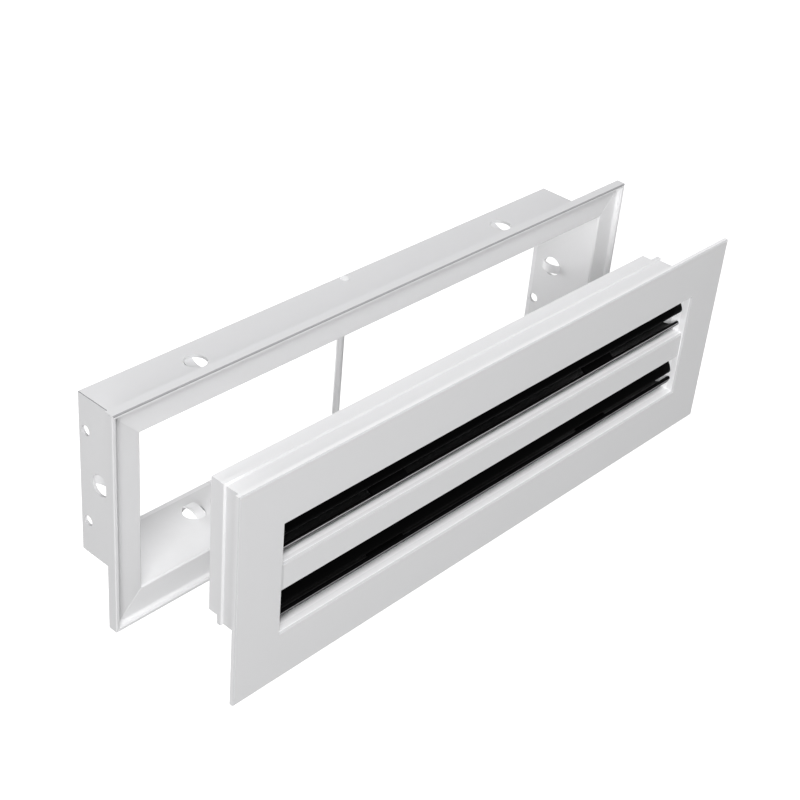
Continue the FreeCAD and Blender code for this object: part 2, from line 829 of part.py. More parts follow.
def check():
    """Stop if any object failed, if a cut removed nothing or if a shape is not sound."""
    for item in doc.Objects:
        if "Invalid" in item.State or "Error" in item.State:
            raise RuntimeError(f"{item.Label} did not build: {item.State}")
    for before, after in cuts:
        if not after.Shape.Volume < before.Shape.Volume - 1e-6:
            raise RuntimeError(f"{after.Name} cuts nothing")
    for item in sub_parts:
        if item.Shape.isNull() or not item.Shape.isValid() or not item.Shape.Solids:
            raise RuntimeError(f"{item.Label} is not a sound solid")


def write_files():
    """Write one file for each sub-part, under its own name."""
    os.makedirs("parts", exist_ok=True)
    for item in sub_parts:
        item.Shape.exportStep(f"parts/{item.Label}.step")
        print(item.Label, len(item.Shape.Solids), round(item.Shape.Volume, 1))


fill_sheet()
build()
doc.recompute()
check()
write_files()
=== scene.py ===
"""Linear slot diffuser: finishes, small hardware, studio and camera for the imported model.

The object is an empty wall frame with the two-slot core drawn out of it towards the room. Every
length is in metres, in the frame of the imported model: X runs along the slots, Y points into the
wall and Z points up.
"""
import logging
import math
from dataclasses import asdict, dataclass, field
from enum import Enum, IntEnum
from typing import ClassVar

import bmesh
import bpy
from mathutils import Matrix, Vector


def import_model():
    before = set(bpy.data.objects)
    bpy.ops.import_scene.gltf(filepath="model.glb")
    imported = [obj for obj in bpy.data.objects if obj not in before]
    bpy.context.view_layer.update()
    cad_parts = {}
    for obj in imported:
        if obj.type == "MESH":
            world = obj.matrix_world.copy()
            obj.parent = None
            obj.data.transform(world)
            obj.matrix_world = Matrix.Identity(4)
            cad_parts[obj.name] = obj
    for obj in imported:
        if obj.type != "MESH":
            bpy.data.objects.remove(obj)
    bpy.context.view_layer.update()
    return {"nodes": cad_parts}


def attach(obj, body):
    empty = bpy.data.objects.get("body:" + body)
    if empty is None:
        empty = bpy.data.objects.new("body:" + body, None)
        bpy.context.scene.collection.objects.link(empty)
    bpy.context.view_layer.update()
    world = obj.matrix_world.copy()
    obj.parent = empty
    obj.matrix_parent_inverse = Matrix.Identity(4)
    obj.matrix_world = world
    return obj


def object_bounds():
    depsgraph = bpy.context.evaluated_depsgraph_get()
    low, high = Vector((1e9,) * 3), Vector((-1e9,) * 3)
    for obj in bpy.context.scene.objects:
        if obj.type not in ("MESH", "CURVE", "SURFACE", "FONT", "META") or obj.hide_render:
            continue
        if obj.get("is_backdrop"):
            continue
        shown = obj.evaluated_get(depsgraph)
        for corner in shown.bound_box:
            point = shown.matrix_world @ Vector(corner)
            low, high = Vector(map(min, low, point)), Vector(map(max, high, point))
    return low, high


LOG = logging.getLogger("slot_diffuser")
MM = 0.001
WHITE = (1.0, 1.0, 1.0, 1.0)
BLACK = (0.0012, 0.0012, 0.0013)
BLACK_PATCHES = (0.0022, 0.0022, 0.0024)
BLACK_ROUGHNESS = (0.30, 0.45)
BLACK_SPECULAR = 0.03

Triple = tuple[float, float, float]
Socket = bpy.types.NodeSocket


class Side(Enum):
    """End of the diffuser, with its sign along X."""

    LEFT = -1
    RIGHT = 1


class Level(Enum):
    """Top or bottom of the frame, with its sign along Z."""

    TOP = 1
    BOTTOM = -1


class Direction(Enum):
    """Direction in which the lines of an extrusion or a drawn bar run, as a stretch."""

    LENGTHWISE = (0.02, 1.0, 1.0)
    UPRIGHT = (1.0, 1.0, 0.02)


class MixSocket(IntEnum):
    """Places of the sockets that a Mix node uses for colours."""

    MASK = 0
    FIRST = 6
    SECOND = 7
    RESULT = 2


@dataclass
class Graph:
    """A node tree with short helpers that add and link its nodes."""

    tree: bpy.types.NodeTree

    def link(self, source: Socket, target: Socket) -> None:
        """Join an output to an input."""
        self.tree.links.new(source, target)

    def feed(self, target: Socket, value: object) -> None:
        """Give an input its value.

        Args:
            target: the input.
            value: the output that feeds it, or a plain value.
        """
        if isinstance(value, Socket):
            self.link(value, target)
        else:
            target.default_value = value

    def add(self, kind: str, **values: object) -> bpy.types.Node:
        """Add a node, set its properties and feed its inputs.

        Args:
            kind: Blender's name of the node type.
            **values: the node's own properties, or its inputs by their names with underscores
                for spaces, each with an output or a plain value.

        Returns:
            The new node.
        """
        node = self.tree.nodes.new(kind)
        for name, value in values.items():
            target = node.inputs.get(name.replace("_", " "))
            if hasattr(node, name):
                setattr(node, name, value)
            elif target is not None:
                self.feed(target, value)
            else:
                raise KeyError(f"{kind} has no {name}")
        return node

    def fill(self, node: bpy.types.Node, terms: tuple[object, ...]) -> bpy.types.Node:
        """Feed a node's inputs in their order.

        Args:
            node: the node.
            terms: outputs or plain values.

        Returns:
            The same node.
        """
        for target, term in zip(node.inputs, terms):
            self.feed(target, term)
        return node

    def calculate(self, operation: str, *terms: object) -> Socket:
        """Add a Math node and give its result."""
        return self.fill(self.add("ShaderNodeMath", operation=operation), terms).outputs[0]

    def combine(self, operation: str, *terms: object) -> Socket:
        """Add a Vector Math node and give the vector that it makes."""
        node = self.add("ShaderNodeVectorMath", operation=operation)
        return self.fill(node, terms).outputs["Vector"]

    def measure(self, operation: str, *terms: object) -> Socket:
        """Add a Vector Math node and give the number that it makes."""
        node = self.add("ShaderNodeVectorMath", operation=operation)
        return self.fill(node, terms).outputs["Value"]

    def split(self, vector: Socket) -> tuple[Socket, Socket, Socket]:
        """Give the X, Y and Z of a vector."""
        parts = self.add("ShaderNodeSeparateXYZ", Vector=vector).outputs
        return parts["X"], parts["Y"], parts["Z"]

    def limit(self, value: Socket) -> Socket:
        """Keep a value between 0 and 1."""
        return self.add("ShaderNodeClamp", Value=value).outputs[0]

    def ramp(self, value: Socket, start: object, slope: float) -> Socket:
        """Rise from 0 to 1.

        Args:
            value: what is measured.
            start: the value at which the rise starts.
            slope: how much it rises for a rise of 1 in the value.

        Returns:
            The ramp, which stays at 1 past its top.
        """
        past = self.calculate("SUBTRACT", value, start)
        return self.limit(self.calculate("MULTIPLY", past, slope))

    def within(self, value: Socket, half_width: Socket) -> Socket:
        """Mask the places where a value is nearer to zero than a half width."""
        return self.calculate("LESS_THAN", self.calculate("ABSOLUTE", value), half_width)

    def overlap(self, first: Socket, *others: Socket) -> Socket:
        """Mask the places that are in every one of several masks.

        Args:
            first: a mask.
            *others: the other masks.

        Returns:
            Their product.
        """
        mask = first
        for other in others:
            mask = self.calculate("MULTIPLY", mask, other)
        return mask

    def blend(self, mask: Socket, first: object, second: object) -> Socket:
        """Blend two colours.

        Args:
            mask: how much of the second colour shows.
            first: a colour's output or its three numbers.
            second: a colour's output or its three numbers.

        Returns:
            The blended colour.
        """
        node = self.add("ShaderNodeMix", data_type="RGBA")
        self.link(mask, node.inputs[MixSocket.MASK])
        for place, colour in ((MixSocket.FIRST, first), (MixSocket.SECOND, second)):
            self.feed(node.inputs[place], colour if isinstance(colour, Socket) else (*colour, 1.0))
        return node.outputs[MixSocket.RESULT]

    def noise(
        self, place: Socket, scale: object, detail: float = 2.0, roughness: float = 0.55
    ) -> Socket:
        """Add a Noise texture.

        Args:
            place: coordinates in metres.
            scale: how many times the pattern changes in a metre.
            detail: number of finer layers.
            roughness: how strong the finer layers are.

        Returns:
            The noise, about 0.5 on average.
        """
        node = self.add(
            "ShaderNodeTexNoise", Vector=place, Scale=scale, Detail=detail, Roughness=roughness
        )
        return node.outputs["Fac"]


@dataclass(frozen=True)
class Effect:
    """A shader node group that is built once and placed in each material with its own values.

    The fields of a kind of effect are its group's inputs, beside the coordinates, which come in
    at Place.
    """

    outputs: ClassVar[tuple[str, ...]] = ("Mask",)

    def settings(self) -> dict[str, float]:
        """The value of each input, by the input's name."""
        return {key.replace("_", " ").title(): value for key, value in asdict(self).items()}

    def build(self) -> bpy.types.NodeTree:
        """Build the group.

        Returns:
            The finished group.
        """
        tree = bpy.data.node_groups.new(type(self).__name__, "ShaderNodeTree")
        tree.interface.new_socket("Place", in_out="INPUT", socket_type="NodeSocketVector")
        for name, value in self.settings().items():
            socket = tree.interface.new_socket(name, in_out="INPUT", socket_type="NodeSocketFloat")
            socket.default_value = value
        for name in self.outputs:
            tree.interface.new_socket(name, in_out="OUTPUT", socket_type="NodeSocketFloat")
        graph = Graph(tree)
        given = {socket.name: socket for socket in graph.add("NodeGroupInput").outputs}
        leave = graph.add("NodeGroupOutput")
        for name, result in zip(self.outputs, self.wire(graph, given)):
            graph.link(result, leave.inputs[name])
        return tree

    def wire(self, graph: Graph, given: dict[str, Socket]) -> tuple[Socket, ...]:
        """Wire the inside of the group.

        Args:
            graph: the group's graph.
            given: the group's inputs, by name.

        Returns:
            What goes to each of the outputs, in their order.
        """
        raise NotImplementedError


@dataclass(frozen=True)
class OrangePeel(Effect):
    """Fine waviness of a stoved powder coat, with a few specks, and broad changes in its sheen."""

    wavelength: float = 0.0016
    speck: float = 0.15

    outputs: ClassVar[tuple[str, ...]] = ("Height", "Sheen")
    specks_in_wave: ClassVar[float] = 0.12
    speck_radius: ClassVar[float] = 0.035
    speck_slope: ClassVar[float] = 20.0
    sheen_scale: ClassVar[float] = 9.0

    def wire(self, graph: Graph, given: dict[str, Socket]) -> tuple[Socket, ...]:
        """Wire the inside of the group.

        Args:
            graph: the group's graph.
            given: the group's inputs, by name.

        Returns:
            The height of the coat and its sheen.
        """
        scale = graph.calculate("DIVIDE", 1.0, given["Wavelength"])
        waves = graph.noise(given["Place"], scale, roughness=0.5)
        specks = graph.add(
            "ShaderNodeTexVoronoi", feature="F1", Randomness=1.0, Vector=given["Place"],
            Scale=graph.calculate("MULTIPLY", scale, self.specks_in_wave),
        )
        near = graph.calculate("SUBTRACT", self.speck_radius, specks.outputs["Distance"])
        raised = graph.calculate("MAXIMUM", near, 0.0)
        bump = graph.calculate("MULTIPLY", raised, self.speck_slope)
        height = graph.calculate("MULTIPLY_ADD", bump, given["Speck"], waves)
        return height, graph.noise(given["Place"], self.sheen_scale)


@dataclass(frozen=True)
class DrawnLines(Effect):
    """Fine lines that a die or a drawing plate leaves along a bar."""

    spacing: float = 0.0004

    outputs: ClassVar[tuple[str, ...]] = ("Height", "Mask")
    broad_in_fine: ClassVar[float] = 0.12
    broad_weight: ClassVar[float] = 0.6
    strong: ClassVar[float] = 0.52
    strong_slope: ClassVar[float] = 5.0

    def wire(self, graph: Graph, given: dict[str, Socket]) -> tuple[Socket, ...]:
        """Wire the inside of the group.

        Args:
            graph: the group's graph.
            given: the group's inputs, by name.

        Returns:
            The height of the lines and a mask of the strong ones.
        """
        scale = graph.calculate("DIVIDE", 1.0, given["Spacing"])
        lines = graph.noise(given["Place"], scale, detail=3.0, roughness=0.6)
        broad_scale = graph.calculate("MULTIPLY", scale, self.broad_in_fine)
        broad = graph.noise(given["Place"], broad_scale, detail=1.0, roughness=0.5)
        height = graph.calculate("MULTIPLY_ADD", broad, self.broad_weight, lines)
        return height, graph.ramp(lines, self.strong, self.strong_slope)


@dataclass(frozen=True)
class SettledDust(Effect):
    """Second colour on surfaces that face up: dusty patches on some coats, and on others painted
    light and shade that makes the tops lighter or darker.

    It lies in patches, which grow together as Amount rises and Bare falls.
    """

    amount: float = 0.2
    bare: float = 0.35

    steep: ClassVar[float] = 0.55
    level: ClassVar[float] = 0.98
    patch_scale: ClassVar[float] = 34.0
    patch_detail: ClassVar[float] = 4.0
    covered: ClassVar[float] = 0.75

    def wire(self, graph: Graph, given: dict[str, Socket]) -> tuple[Socket, ...]:
        """Wire the inside of the group.

        Args:
            graph: the group's graph.
            given: the group's inputs, by name.

        Returns:
            A mask of the second colour.
        """
        normal = graph.add("ShaderNodeNewGeometry").outputs["Normal"]
        rise = graph.split(normal)[2]
        upward = graph.add(
            "ShaderNodeMapRange", Value=rise, From_Min=self.steep, From_Max=self.level
        )
        patches = graph.noise(given["Place"], self.patch_scale, self.patch_detail)
        uneven = graph.add(
            "ShaderNodeMapRange", Value=patches, From_Min=given["Bare"], From_Max=self.covered
        )
        settled = graph.overlap(upward.outputs[0], uneven.outputs[0], given["Amount"])
        return (graph.limit(settled),)


@dataclass(frozen=True)
class DepthBand(Effect):
    """Band between two depths, which ends at a distance from the middle in length and in height."""

    front: float = 0.0
    back: float = 0.0
    half_length: float = 0.1325
    half_height: float = 0.0290

    def wire(self, graph: Graph, given: dict[str, Socket]) -> tuple[Socket, ...]:
        """Wire the inside of the group.

        Args:
            graph: the group's graph.
            given: the group's inputs, by name.

        Returns:
            A mask of the band.
        """
        along, depth, high = graph.split(given["Place"])
        band = graph.overlap(
            graph.calculate("GREATER_THAN", depth, given["Front"]),
            graph.calculate("LESS_THAN", depth, given["Back"]),
            graph.within(along, given["Half Length"]),
            graph.within(high, given["Half Height"]),
        )
        return (band,)


@dataclass(frozen=True)
class LipLine(Effect):
    """Painted shadow line along the top of the front of the frame's top lip, over the lip's bevel
    highlight.
    """

    front: float = -0.00428
    foot: float = 0.05085

    slope: ClassVar[float] = 5000.0

    def wire(self, graph: Graph, given: dict[str, Socket]) -> tuple[Socket, ...]:
        """Wire the inside of the group.

        Args:
            graph: the group's graph.
            given: the group's inputs, by name.

        Returns:
            A mask of the line.
        """
        _, depth, high = graph.split(given["Place"])
        before = graph.calculate("LESS_THAN", depth, given["Front"])
        return (graph.overlap(graph.ramp(high, given["Foot"], self.slope), before),)


@dataclass(frozen=True)
class RearHem(Effect):
    """Painted highlight on the hem at the rear of the frame's neck, on the inside of its walls."""

    start: float = 0.0312
    half_length: float = 0.1430
    half_height: float = 0.0378

    slope: ClassVar[float] = 4000.0

    def wire(self, graph: Graph, given: dict[str, Socket]) -> tuple[Socket, ...]:
        """Wire the inside of the group.

        Args:
            graph: the group's graph.
            given: the group's inputs, by name.

        Returns:
            A mask of the hem.
        """
        along, depth, high = graph.split(given["Place"])
        hem = graph.overlap(
            graph.ramp(depth, given["Start"], self.slope),
            graph.within(along, given["Half Length"]),
            graph.within(high, given["Half Height"]),
        )
        return (hem,)


@dataclass(frozen=True)
class NoseLine(Effect):
    """Painted highlight along the nose of a blade, and the painted shade below it.

    The line is a slice square to a direction that points forwards and down.
    """

    nose_y: float = 0.0
    nose_z: float = 0.0
    line: float = 0.0
    half_width: float = 0.00018
    reach: float = 0.0024

    outputs: ClassVar[tuple[str, ...]] = ("Line", "Thin")
    across: ClassVar[Triple] = (0.0, 1.0, 1.0)
    downward: ClassVar[Triple] = (0.0, -0.7117, -0.7025)
    outward: ClassVar[Triple] = (0.0, -0.7025, 0.7117)
    fade_end: ClassVar[float] = 1.5

    def wire(self, graph: Graph, given: dict[str, Socket]) -> tuple[Socket, ...]:
        """Wire the inside of the group.

        Args:
            graph: the group's graph.
            given: the group's inputs, by name.

        Returns:
            Masks of the painted highlight and of the painted shade below it.
        """
        nose = graph.add("ShaderNodeCombineXYZ", Y=given["Nose Y"], Z=given["Nose Z"]).outputs[0]
        away = graph.combine("SUBTRACT", given["Place"], nose)
        spot = graph.combine("MULTIPLY", away, self.across)
        below = graph.measure("DOT_PRODUCT", spot, self.downward)
        beyond = graph.calculate("SUBTRACT", below, given["Line"])
        distance = graph.calculate("ABSOLUTE", beyond)
        widths = graph.calculate("DIVIDE", distance, given["Half Width"])
        line = graph.limit(graph.calculate("SUBTRACT", self.fade_end, widths))
        outside = graph.measure("DOT_PRODUCT", spot, self.outward)
        outer = graph.calculate("GREATER_THAN", outside, 0.0)
        past = graph.calculate("GREATER_THAN", beyond, 0.0)
        near = graph.calculate("LESS_THAN", graph.measure("LENGTH", spot), given["Reach"])
        return graph.overlap(line, outer), graph.overlap(past, near)


@dataclass(frozen=True)
class Mark:
    """A place on a coat with another colour, mostly painted light and shade: the effect that masks
    it, and its colour.
    """

    effect: Effect
    colour: Triple


@dataclass
class Draft:
    """A material in the making, with its graph, its shader and the coordinates on its piece."""

    material: bpy.types.Material
    graph: Graph
    shader: bpy.types.Node
    place: Socket


@dataclass
class PaintShop:
    """Builds each effect and each material the first time that it is asked for."""

    effects: dict[type[Effect], bpy.types.NodeTree] = field(default_factory=dict)
    materials: dict[str, bpy.types.Material] = field(default_factory=dict)

    def place(self, graph: Graph, effect: Effect, place: Socket) -> bpy.types.Node:
        """Put an effect into a material.

        Args:
            graph: the material's graph.
            effect: the effect, with the material's own values.
            place: the coordinates that the effect reads.

        Returns:
            The group node, with its inputs fed.
        """
        kind = type(effect)
        if kind not in self.effects:
            self.effects[kind] = effect.build()
        group = self.effects[kind]
        return graph.add("ShaderNodeGroup", node_tree=group, Place=place, **effect.settings())

    def coat(self, piece: bpy.types.Object, finish: "Finish") -> None:
        """Give a piece one finish all over.

        Args:
            piece: the object.
            finish: its finish.
        """
        if finish.name not in self.materials:
            self.materials[finish.name] = finish.make(self)
        piece.data.materials.clear()
        piece.data.materials.append(self.materials[finish.name])
        LOG.info("%s: %s", piece.name, finish.name)


@dataclass(frozen=True)
class Finish:
    """A finish of the real object, as one material.

    Attributes:
        name: the material's name.
        colour: its main colour.
        patch_colour: a second colour, which shows in patches.
        roughness: its lowest and highest roughness.
        metallic: how metallic it is.
        specular: its specular level.
        bump_depth: height of its bumps.
        bump_strength: strength of its bumps.
    """

    name: str
    colour: Triple
    patch_colour: Triple
    roughness: tuple[float, float]
    metallic: float = 0.0
    specular: float = 0.5
    bump_depth: float = 0.00001
    bump_strength: float = 1.0

    usual_noise: ClassVar[tuple[float, float]] = (0.25, 0.75)

    def make(self, shop: PaintShop) -> bpy.types.Material:
        """Build the material.

        Args:
            shop: where the shared effects are.

        Returns:
            The material.
        """
        raise NotImplementedError

    def start(self) -> Draft:
        """Start the material with its Principled BSDF and its constant values.

        Returns:
            The material in the making.
        """
        material = bpy.data.materials.new(self.name)
        material.use_nodes = True
        material.diffuse_color = (*self.colour, 1.0)
        graph = Graph(material.node_tree)
        shader = material.node_tree.nodes["Principled BSDF"]
        shader.inputs["Metallic"].default_value = self.metallic
        shader.inputs["Specular IOR Level"].default_value = self.specular
        return Draft(material, graph, shader, graph.add("ShaderNodeTexCoord").outputs["Object"])

    def vary_roughness(self, draft: Draft, mask: Socket) -> None:
        """Vary the roughness with a mask.

        Args:
            draft: the material in the making.
            mask: noise from 0 to 1.
        """
        least, most = self.usual_noise
        low, high = self.roughness
        spread = draft.graph.add(
            "ShaderNodeMapRange", Value=mask, From_Min=least, From_Max=most, To_Min=low, To_Max=high
        )
        draft.graph.link(spread.outputs[0], draft.shader.inputs["Roughness"])

    def raise_bump(self, draft: Draft, height: Socket) -> None:
        """Turn a height into the shader's normal.

        Args:
            draft: the material in the making.
            height: the height, about 0 to 1.
        """
        bump = draft.graph.add(
            "ShaderNodeBump", Strength=self.bump_strength, Distance=self.bump_depth, Height=height
        )
        draft.graph.link(bump.outputs["Normal"], draft.shader.inputs["Normal"])


Coats = tuple[tuple[Finish, tuple[str, ...]], ...]


@dataclass(frozen=True)
class PowderCoat(Finish):
    """White stoved powder coat on aluminium, with a second colour on upward faces and marks in
    their order; on most coats both are painted light and shade.
    """

    roughness: tuple[float, float] = (0.46, 0.58)
    specular: float = 0.35
    bump_depth: float = 0.00003
    bump_strength: float = 0.5
    # Second colour on upward faces: dusty patches by default, and painted light and shade on the
    # tops where a coat sets it evenly.
    dust: SettledDust = SettledDust()
    dust_colour: Triple = (0.80, 0.80, 0.81)
    marks: tuple[Mark, ...] = ()

    def make(self, shop: PaintShop) -> bpy.types.Material:
        """Build the material.

        Args:
            shop: where the shared effects are.

        Returns:
            The material.
        """
        draft = self.start()
        graph = draft.graph
        peel = shop.place(graph, OrangePeel(), draft.place)
        dust = shop.place(graph, self.dust, draft.place)
        self.vary_roughness(draft, peel.outputs["Sheen"])
        colour = graph.blend(peel.outputs["Sheen"], self.colour, self.patch_colour)
        colour = graph.blend(dust.outputs["Mask"], colour, self.dust_colour)
        for mark in self.marks:
            masked = shop.place(graph, mark.effect, draft.place)
            colour = graph.blend(masked.outputs["Mask"], colour, mark.colour)
        graph.link(colour, draft.shader.inputs["Base Color"])
        self.raise_bump(draft, peel.outputs["Height"])
        return draft.material


@dataclass(frozen=True)
class LinedMetal(Finish):
    """Metal or coated metal with the fine lines of a die, a saw or a drawing plate."""

    spacing: float = 0.0004
    direction: Direction = Direction.LENGTHWISE
    dust: SettledDust = SettledDust(0.1)

    line_weight: ClassVar[float] = 0.5

    def make(self, shop: PaintShop) -> bpy.types.Material:
        """Build the material.

        Args:
            shop: where the shared effects are.

        Returns:
            The material.
        """
        draft = self.start()
        graph = draft.graph
        stretch = graph.add(
            "ShaderNodeMapping", vector_type="POINT", Vector=draft.place, Scale=self.direction.value
        )
        lines = shop.place(graph, DrawnLines(self.spacing), stretch.outputs["Vector"])
        dust = shop.place(graph, self.dust, draft.place)
        self.vary_roughness(draft, lines.outputs["Height"])
        tone = graph.calculate(
            "MULTIPLY_ADD", lines.outputs["Mask"], self.line_weight, dust.outputs["Mask"]
        )
        colour = graph.blend(tone, self.colour, self.patch_colour)
        graph.link(colour, draft.shader.inputs["Base Color"])
        self.raise_bump(draft, lines.outputs["Height"])
        return draft.material


@dataclass(frozen=True)
class BladeCoat(Finish):
    """Black coat of a low blade, with a painted highlight along its nose and painted shade below
    it.
    """

    colour: Triple = BLACK
    patch_colour: Triple = BLACK_PATCHES
    roughness: tuple[float, float] = BLACK_ROUGHNESS
    specular: float = BLACK_SPECULAR
    bump_strength: float = 0.5
    nose: NoseLine = NoseLine()
    # Painted highlight on the nose, and painted shade below it.
    line_colour: Triple = (0.38, 0.38, 0.39)
    thin_colour: Triple = (0.040, 0.040, 0.042)

    patch_scale: ClassVar[float] = 60.0
    grain_scale: ClassVar[float] = 4000.0

    def make(self, shop: PaintShop) -> bpy.types.Material:
        """Build the material.

        Args:
            shop: where the shared effects are.

        Returns:
            The material.
        """
        draft = self.start()
        graph = draft.graph
        edge = shop.place(graph, self.nose, draft.place)
        patches = graph.noise(draft.place, self.patch_scale)
        self.vary_roughness(draft, patches)
        colour = graph.blend(patches, self.colour, self.patch_colour)
        colour = graph.blend(edge.outputs["Thin"], colour, self.thin_colour)
        colour = graph.blend(edge.outputs["Line"], colour, self.line_colour)
        graph.link(colour, draft.shader.inputs["Base Color"])
        self.raise_bump(draft, graph.noise(draft.place, self.grain_scale))
        return draft.material


@dataclass(frozen=True)
class FloorPaper(Finish):
    """Plain paper that looks white to the camera and throws little light up at the object."""

    cloud_scale: ClassVar[float] = 3.0

    def make(self, shop: PaintShop) -> bpy.types.Material:
        """Build the material.

        Args:
            shop: where the shared effects are; not used, as it has none.

        Returns:
            The material.
        """
        draft = self.start()
        graph, shader = draft.graph, draft.shader
        clouds = graph.noise(draft.place, self.cloud_scale)
        graph.link(graph.blend(clouds, self.colour, self.patch_colour), shader.inputs["Base Color"])
        shader.inputs["Roughness"].default_value = max(self.roughness)
        shader.inputs["Emission Color"].default_value = WHITE
        seen = graph.add("ShaderNodeLightPath").outputs["Is Camera Ray"]
        graph.link(seen, shader.inputs["Emission Strength"])
        return draft.material


# Painted shade: a darker grey on bevels, in place of the highlight that the light puts on them.
BEVEL_SHADE_GREY = (0.55, 0.55, 0.56)


def slot_marks(front: float, back: float) -> tuple[Mark, ...]:
    """Paint light and shade into the slots: lighter flanks, a lighter inner strip and darker bevels
    round their mouths.

    Args:
        front: depth at which the bevel starts.
        back: depth at which it ends and the flank starts.

    Returns:
        The painted light on the flank, the stronger painted light on its inner strip where the
        blade casts shade, and the painted shade on the bevel, in the order of painting.
    """
    flank_rear, inner_front = -0.0600, -0.0646
    return (
        # Painted light on the flanks, stronger next to the blades, against the shade in the slot;
        # painted shade on the bevels.
        Mark(DepthBand(back, flank_rear), (0.82, 0.82, 0.83)),
        Mark(DepthBand(inner_front, flank_rear), (0.95, 0.95, 0.96)),
        Mark(DepthBand(front, back), BEVEL_SHADE_GREY),
    )


# Painted shadow: dark line along the top of the lip's front face, in place of its highlight.
LIP_SHADOW = Mark(LipLine(), (0.33, 0.33, 0.34))
# Painted highlight: lighter band along the rear hem inside the walls, where the hem catches the
# light.
HEM_HIGHLIGHT = Mark(RearHem(), (0.88, 0.88, 0.89))
# Painted shade over the bevel at the front edge of the core's face plate, in place of its
# highlight.
RIM_BEVEL_SHADE = Mark(DepthBand(-0.06797, -0.0676, half_length=1.0, half_height=1.0), BEVEL_SHADE_GREY)
# Even cover of all upward faces, for painted light and shade on the tops.
PAINTED_TOP_SHADING = SettledDust(8.0, bare=0.05)

# Painted light: upward faces of the bottom profile, the mitre beads and the rod heads are lighter
# in broad patches; the hem carries a painted highlight.
FRAME_WHITE = PowderCoat(
    "frame_white_powder_coat", (0.76, 0.76, 0.77), (0.73, 0.73, 0.735),
    dust=SettledDust(0.8), dust_colour=(0.82, 0.82, 0.83), marks=(HEM_HIGHLIGHT,),
)
# Painted shade: the top profile's upward faces are evenly darker, and a painted shadow line runs
# along its lip.
FRAME_TOP_SHADED_WHITE = PowderCoat(
    "frame_top_powder_coat", (0.77, 0.77, 0.78), (0.74, 0.74, 0.745),
    dust=PAINTED_TOP_SHADING, dust_colour=(0.64, 0.64, 0.65), marks=(LIP_SHADOW,),
)
# Painted shade: the left profile is a darker copy of the white coat.
FRAME_LEFT_SHADED_WHITE = PowderCoat(
    "frame_left_powder_coat", (0.70, 0.70, 0.71), (0.67, 0.67, 0.675), marks=(HEM_HIGHLIGHT,)
)
# Painted light: the right profile is a lighter copy of the white coat.
FRAME_RIGHT_LIT_WHITE = PowderCoat(
    "frame_right_powder_coat", (0.82, 0.82, 0.83), (0.79, 0.79, 0.795), marks=(HEM_HIGHLIGHT,)
)
# Painted light: the tie rod is a lighter copy of the white coat, against the shade under the top
# flange.
ROD_LIT_WHITE = PowderCoat("tie_rod_powder_coat", (0.90, 0.90, 0.91), (0.87, 0.87, 0.875))
# Painted shade: dark strips in the corner joints of the neck, where the mitre gaps lie in shade.
SEAM_SHADE_GREY = PowderCoat(
    "corner_seam_shade", (0.16, 0.16, 0.165), (0.20, 0.20, 0.205), (0.70, 0.80),
    specular=0.1, dust=SettledDust(0.0),
)
# Painted light: the core's upward faces are evenly lighter; its slots and the edge of its face
# plate carry painted light and shade.
CORE_WHITE = PowderCoat(
    "core_white_powder_coat", (0.75, 0.75, 0.76), (0.71, 0.71, 0.715),
    dust=PAINTED_TOP_SHADING, dust_colour=(0.79, 0.79, 0.80),
    marks=(*slot_marks(-0.06797, -0.06735), RIM_BEVEL_SHADE),
)
# Painted light and shade in the bar's slot flanks and bevels, as on the core.
BAR_WHITE = PowderCoat(
    "bar_white_powder_coat", (0.75, 0.75, 0.76), (0.71, 0.71, 0.715),
    marks=slot_marks(-0.06698, -0.06630),
)
BLADE_BLACK = LinedMetal(
    "blade_black_coat", BLACK, BLACK_PATCHES, BLACK_ROUGHNESS, specular=BLACK_SPECULAR,
    bump_strength=0.5, dust=SettledDust(0.05),
)
# Painted highlight along each low blade's nose, with painted shade below it.
UPPER_LOW_BLADE = BladeCoat(
    "blade_black_coat_upper_nose", nose=NoseLine(-0.06363, 0.01106, line=0.00035)
)
LOWER_LOW_BLADE = BladeCoat(
    "blade_black_coat_lower_nose", nose=NoseLine(-0.06475, -0.01904, line=0.00090)
)
KEY_METAL = LinedMetal(
    "key_bare_aluminium", (0.50, 0.50, 0.51), (0.38, 0.38, 0.39), (0.38, 0.58), metallic=1.0,
    bump_depth=0.00003, spacing=0.0012, direction=Direction.UPRIGHT,
)
ZINC_STEEL = LinedMetal(
    "rod_zinc_plate", (0.56, 0.56, 0.57), (0.42, 0.42, 0.42), (0.26, 0.44), metallic=1.0,
    spacing=0.0002,
)
FLOOR_PAPER = FloorPaper("studio_floor_paper", (0.18, 0.18, 0.18), (0.22, 0.22, 0.22), (0.9, 0.9))


@dataclass(frozen=True)
class Bead:
    """A strip in a mitre of the frame.

    Attributes:
        start: inset from the frame's outer corner at which it starts.
        end: inset at which it ends.
        front: depth of its front.
        rear: depth of its rear.
    """

    start: float
    end: float
    front: float
    rear: float


@dataclass
class Unit:
    """A sub-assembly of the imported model, with the pieces that have each of its finishes."""

    coats: Coats = ()

    def dress(self, nodes: dict[str, bpy.types.Object], shop: PaintShop) -> None:
        """Give each piece its finish.

        Args:
            nodes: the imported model's objects by name.
            shop: where the finishes are made.
        """
        for finish, names in self.coats:
            for name in names:
                shop.coat(nodes[name], finish)


